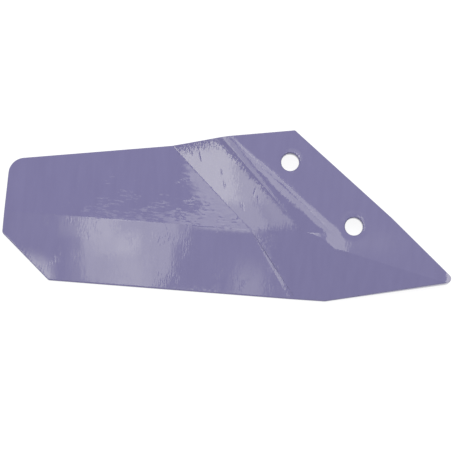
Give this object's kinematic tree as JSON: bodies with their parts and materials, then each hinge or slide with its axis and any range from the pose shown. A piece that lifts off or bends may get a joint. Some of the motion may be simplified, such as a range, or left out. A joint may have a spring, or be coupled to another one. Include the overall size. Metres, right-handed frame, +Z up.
{
  "type": "cultivator side share",
  "caption": "Joggled steel side share: flat wing with a bevelled cutting edge, sloping web and a raised, pointed mount with bolt holes, dip painted.",
  "frame": {"origin": "on the mount's seat face, midway between the two bolt holes", "axes": "+X along the cutting edge from heel to point, +Y from the cutting edge to the back, +Z up from the wing's flat back"},
  "size_m": [0.3286, 0.1214, 0.0236],
  "materials": {
    "dip_paint": "glossy violet blue dip paint over forged steel"
  },
  "bodies": {
    "root": {"side_share": "dip_paint"}
  },
  "joints": []
}
